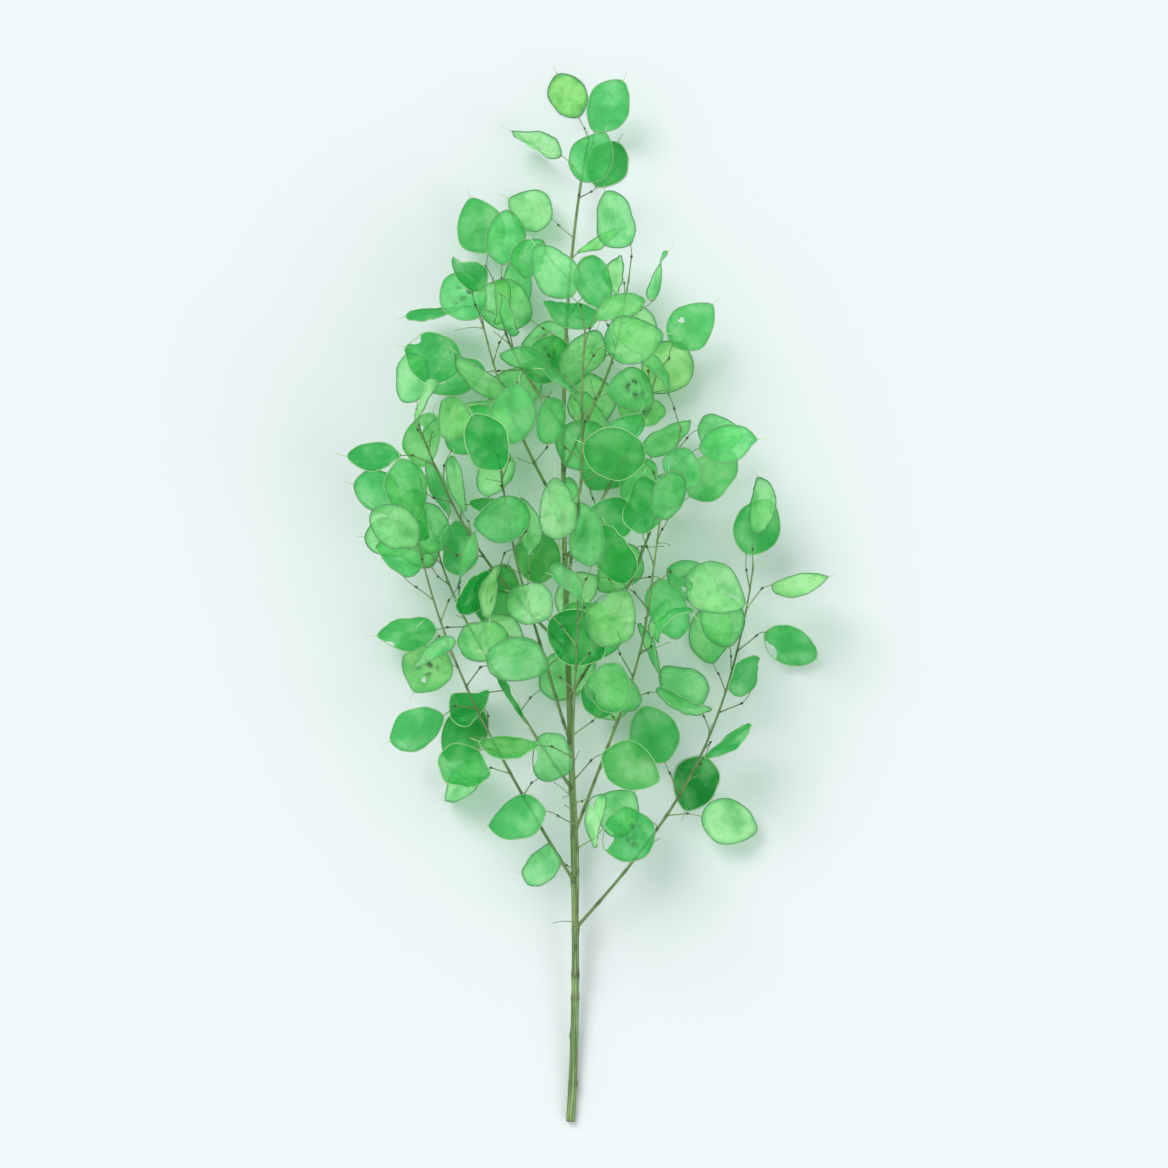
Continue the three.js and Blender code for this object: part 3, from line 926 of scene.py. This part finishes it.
def beakMaterial():
    # The dried style that ends the pod: straw, with a little dye at its foot and brown at its tip.
    straw = dict(foot="#7cb078", straw="#b8c598", tip="#827a4c", roughness=0.6)
    material, tree = startMaterial("driedStyleStraw")
    look = addNode(tree, "ShaderNodeAttribute", attribute_name="podLook").outputs["Vector"]
    along = addNode(tree, "ShaderNodeSeparateXYZ", {0: look}).outputs[2]
    colour = paintOver(tree, linear(straw["foot"]), [
        (along, (0.1, 0.5), (0.0, 1.0), straw["straw"]),
        (along, (0.75, 1.0), (0.0, 0.9), straw["tip"]),
    ])
    endOpaque(tree, colour, straw["roughness"])
    return material


def stalkMaterial():
    # A dry woody flower stalk that has been dipped in the dye: long fibres show as streaks, the dye gathers
    # in the furrows, and knots and scars stay dark.
    wood = dict(
        furrow="#375023", green="#617d41", ridge="#97a772", wire="#36522d", straw="#7c965c", knot="#1a2615",
        across=0.0007, along=0.03,  # metres from streak to streak, and how long one is
        patchesPerMetre=45.0, roughness=0.62,
        wiry=0.7,  # how far the thinnest twigs take the colour of the wires
    )
    material, tree = startMaterial("dyedWoodyStalk")
    straight = addNode(tree, "ShaderNodeAttribute", attribute_name="straight").outputs["Vector"]
    look = addNode(tree, "ShaderNodeAttribute", attribute_name="woodLook").outputs["Vector"]
    dark, tone, thin = addNode(tree, "ShaderNodeSeparateXYZ", {0: look}).outputs[:3]
    scale = (1 / wood["across"], 1 / wood["across"], 1 / wood["along"])
    fibres = addNode(tree, "ShaderNodeMapping", {"Vector": straight, "Scale": scale}).outputs[0]
    fibres = {"Vector": fibres, "Scale": 1.0, "Detail": 4.0}
    fibres = addNode(tree, "ShaderNodeTexNoise", fibres).outputs["Fac"]
    patches = {"Vector": straight, "Scale": wood["patchesPerMetre"], "Detail": 3.0}
    patches = addNode(tree, "ShaderNodeTexNoise", patches).outputs["Fac"]
    colour = paintOver(tree, linear(wood["furrow"]), [
        (fibres, (0.3, 0.55), (0.0, 1.0), wood["green"]),
        (fibres, (0.5, 0.72), (0.0, 0.9), wood["ridge"]),
    ])
    wires = {0: tone, 6: linear(wood["wire"]), 7: linear(wood["straw"])}
    wires = addNode(tree, "ShaderNodeMix", wires, data_type="RGBA").outputs[2]
    wiry = addNode(tree, "ShaderNodeMath", {0: thin, 1: wood["wiry"]}, operation="MULTIPLY").outputs[0]
    colour = addNode(tree, "ShaderNodeMix", {0: wiry, 6: colour, 7: wires}, data_type="RGBA").outputs[2]
    colour = paintOver(tree, colour, [
        (patches, (0.5, 0.75), (0.0, 0.5), wood["furrow"]),
        (dark, (0.0, 1.0), (0.0, 1.0), wood["knot"]),
    ])
    endOpaque(tree, colour, wood["roughness"], height=fibres, strength=0.6, depth=0.0003)
    return material


def pithMaterial():
    # The cut through the stalk: pale pith in a ring of wood whose vessels show as fine pores.
    pith = dict(pale="#c3c49d", pore="#938f5d", pores=0.0004, roughness=0.85)
    material, tree = startMaterial("cutStalkPith")
    place = addNode(tree, "ShaderNodeTexCoord").outputs["Object"]
    pores = {"Vector": place, "Scale": 1 / pith["pores"]}
    pores = addNode(tree, "ShaderNodeTexVoronoi", pores).outputs["Distance"]
    colour = paintOver(tree, linear(pith["pale"]), [(pores, (0.1, 0.6), (1.0, 0.0), pith["pore"])])
    endOpaque(tree, colour, pith["roughness"], height=pores, strength=0.5, depth=0.0002)
    return material


podMaterials = [
    skinMaterial("dipDyedHonestySeptum", False), rimMaterial(), beakMaterial(),
    skinMaterial("seedMarkedHonestySeptum", True),
]
woodMaterials = [stalkMaterial(), pithMaterial()]
print("materials:", [material.name for material in podMaterials + woodMaterials])

# the pieces: for each raceme one of pods and one of its twig and wires

scars = dict(
    swell=0.32, reach=3.2, dark=0.55,
    leaves=[0.035, 0.082, 0.118], onTwigs=[0.07, 0.15],  # shares of the stalk and of each twig
)
twig = dict(
    steps=90, tip=0.8, footSwell=0.5, footReach=3, knotSwell=0.22, knotReach=1.3,  # reaches in millimetres
    ridges=[(5, 9, 0.05)],  # how many, how far they twist, and how high they are
    dark=0.5, darkReach=2.5, wiry=(0.35, 0.75),  # at foot and tip
)
bark = dict(
    steps=260, ridges=[(7, 3, 0.035), (3, 17, 0.02)],  # as on the twigs
    tipFrom=0.998, tipNarrows=0.5, scarTurn=2.4, scarDrop=1.2, wiry=0.6,
    grainRadius=2.5, cutDark=0.25, cutDarkTo=0.004,  # the cut end has darkened
)


def ridged(waves, share, angle):
    return 1 + sum(height * np.sin(count * angle + twist * share) for count, twist, height in waves)


def placeTwig(pile, raceme):
    length = raceme["length"]
    co = templateCoords["twig"]
    points = raceme["path"](np.linspace(0, 1, twig["steps"]))

    def bumps(share):
        out = np.zeros_like(share)
        for at in raceme["roots"] + scars["onTwigs"]:
            out = np.maximum(out, bell((share - at) * length / twig["knotReach"]))
        return out

    def radius(share, angle):
        size = mix(branch["footRadius"], branch["tipRadius"] * twig["tip"], share)
        foot = 1 + twig["footSwell"] * np.exp(-share * length / twig["footReach"])
        return size * foot * (1 + twig["knotSwell"] * bumps(share)) * ridged(twig["ridges"], share, angle)

    placed = placeTube(co, points, radius)
    atFoot = np.exp(-co[:, 2] * length / twig["darkReach"])
    dark = np.clip(twig["dark"] * bumps(co[:, 2]) + twig["dark"] * atFoot, 0, 1)
    look = columns(dark, raceme["tone"], mix(*twig["wiry"], co[:, 2]))
    addCopy(pile, templates["twig"], placed, straightened(co, length, 1, raceme["shift"]), look)


def placeStalk(pile, raceme):
    co = templateCoords["stalk"]
    points = stalkPath(np.linspace(0, 1, bark["steps"]))
    length = raceme["length"]
    ahead, sides, others = framesAlong(points)
    nodes = []
    for other in racemes[:-1]:
        out = other["path"](0.03) - other["path"](0.0)
        k = int(other["at"] * (bark["steps"] - 1))
        nodes.append((other["at"], math.atan2(float(out @ others[k]), float(out @ sides[k]))))
    nodes += [(at, bark["scarTurn"] * i) for i, at in enumerate(scars["leaves"])]

    def swelling(share, angle):
        out = np.zeros_like(share)
        for at, facing in nodes:
            near = bell((share - at) * length / scars["reach"])
            out = np.maximum(out, near * (0.6 + 0.4 * np.cos(angle - facing)))
        return out

    def radius(share, angle):
        tip = np.where(share > bark["tipFrom"], bark["tipNarrows"], 1)
        ridges = ridged(bark["ridges"], share, angle)
        return stalkRadius(share) * tip * (ridges + scars["swell"] * swelling(share, angle))

    placed = placeTube(co, points, radius)
    angle = np.arctan2(co[:, 1], co[:, 0])
    dark = scars["dark"] * swelling(co[:, 2] - bark["scarDrop"] / length, angle) ** 2
    dark = np.clip(dark + np.where(co[:, 2] < bark["cutDarkTo"], bark["cutDark"], 0), 0, 1)
    look = columns(dark, raceme["tone"], bark["wiry"] * co[:, 2] ** 2)
    addCopy(pile, templates["stalk"], placed, straightened(co, length, bark["grainRadius"], 0), look)


dye = dict(
    racemes=(0.1, 0.9), ofRaceme=0.25, ofPod=0.95, less=0.05,  # what a pod's tone is made of
    marked=0.08,  # share of the pods with seed marks
)


def drawLooks(raceme):
    raceme["tone"] = detailDice(*dye["racemes"])
    raceme["shift"] = detailDice(0, 900)  # millimetres, so that each twig has a grain of its own
    for made in raceme["pods"]:
        tone = dye["ofRaceme"] * raceme["tone"] + dye["ofPod"] * detailDice() - dye["less"]
        made["tone"] = min(max(tone, 0), 1)
        made["shift"] = detailDice(0, 3)  # metres, so that each film has clouds of its own
        made["lot"] = detailDice()
        made["marked"] = detailDice() < dye["marked"]
        made["bend"] = detailDice(-1, 1)
        made["cockle"] = mix(*skin["cockle"], detailDice() ** 1.5)
        made["ripple"] = mix(*skin["ripple"], detailDice() ** 1.5)
        made["crease"] = skin["crease"] * max(detailDice(-0.6, 1), 0) * (1 if detailDice() < 0.5 else -1)
        made["phases"] = [detailDice(0, roundTurn) for k in range(6)]


def buildPods(raceme, node):
    pile = startPile()
    for made in raceme["pods"]:
        addPod(pile, made)
    finishPile(pile, node + "_pods", ("podFlat", "podLook"), podMaterials, node)


def buildWood(raceme, node):
    pile = startPile()
    if raceme is racemes[-1]:
        stem = startPile()
        placeStalk(stem, raceme)
        finishPile(stem, node + "_stalk", ("straight", "woodLook"), woodMaterials, node)
    else:
        placeTwig(pile, raceme)
    for made in raceme["pods"]:
        addWire(pile, made)
    for path in raceme["bareWires"]:
        addBareWire(pile, path, raceme)
    finishPile(pile, node + "_wires", ("straight", "woodLook"), woodMaterials[:1], node)


for number, raceme in enumerate(racemes, 1):
    node = "main_stem" if raceme is racemes[-1] else f"side_spray_{number:02d}"
    drawLooks(raceme)
    buildPods(raceme, node)
    buildWood(raceme, node)
print("pieces:", 2 * len(racemes) + 1)

# floor, light and camera

studio = dict(
    floor="#c7cccb", floorReach=40, room="#f3fbff", roomStrength=0.89, backdrop="#f1fbfc",
    key=(-2.1, 2.2, 3.9), keyStrength=2.28, fill=(3.2, -2.4, 3.0), fillStrength=0.825, spread=34,
    elevation=80, lens=70, distance=1.68, aim=(0, -0.018, 0.05),
)

bm = bmesh.new()
bmesh.ops.create_grid(bm, x_segments=1, y_segments=1, size=studio["floorReach"])
floorMesh = bpy.data.meshes.new("studioFloor")
bm.to_mesh(floorMesh)
bm.free()
floor = bpy.data.objects.new("studioFloor", floorMesh)
bpy.context.scene.collection.objects.link(floor)
matt, tree = startMaterial("mattBackdropPaper")
paint = addNode(
    tree, "ShaderNodeBsdfPrincipled",
    {"Base Color": linear(studio["floor"]), "Roughness": 0.9, "Specular IOR Level": 0.0},
)
addNode(tree, "ShaderNodeOutputMaterial", {"Surface": paint.outputs[0]})
floorMesh.materials.append(matt)

# the room lights the stem softly, and its far wall is as pale as the floor, so that no horizon shows
world = bpy.data.worlds.new("softRoom")
bpy.context.scene.world = world
world.use_nodes = True
tree = world.node_tree
tree.nodes.clear()
room = addNode(tree, "ShaderNodeBackground", {0: linear(studio["room"]), 1: studio["roomStrength"]})
wall = addNode(tree, "ShaderNodeBackground", {0: linear(studio["backdrop"]), 1: 1.0})
seen = addNode(tree, "ShaderNodeLightPath").outputs["Is Camera Ray"]
both = addNode(tree, "ShaderNodeMixShader", {0: seen, 1: room.outputs[0], 2: wall.outputs[0]})
addNode(tree, "ShaderNodeOutputWorld", {"Surface": both.outputs[0]})

for name in ("key", "fill"):  # wide soft lights, far enough away to light the whole floor evenly
    lamp = bpy.data.lights.new(name + "Light", "SUN")
    lamp.angle = studio["spread"] * degree
    lamp.energy = studio[name + "Strength"]
    hung = bpy.data.objects.new(name + "Light", lamp)
    hung.location = studio[name]
    hung.rotation_euler = (-hung.location).to_track_quat("-Z", "Y").to_euler()
    bpy.context.scene.collection.objects.link(hung)

lens = bpy.data.cameras.new("camera")
lens.lens = studio["lens"]
camera = bpy.data.objects.new("camera", lens)
tilt = studio["elevation"] * degree
camera.location = Vector(studio["aim"]) + studio["distance"] * Vector((0, -math.cos(tilt), math.sin(tilt)))
camera.rotation_euler = (Vector(studio["aim"]) - camera.location).to_track_quat("-Z", "Y").to_euler()
bpy.context.scene.collection.objects.link(camera)
bpy.context.scene.camera = camera
bpy.context.scene.view_settings.view_transform = "Standard"

for template in templates.values():
    for mesh in template if isinstance(template, list) else [template]:
        bpy.data.meshes.remove(mesh)
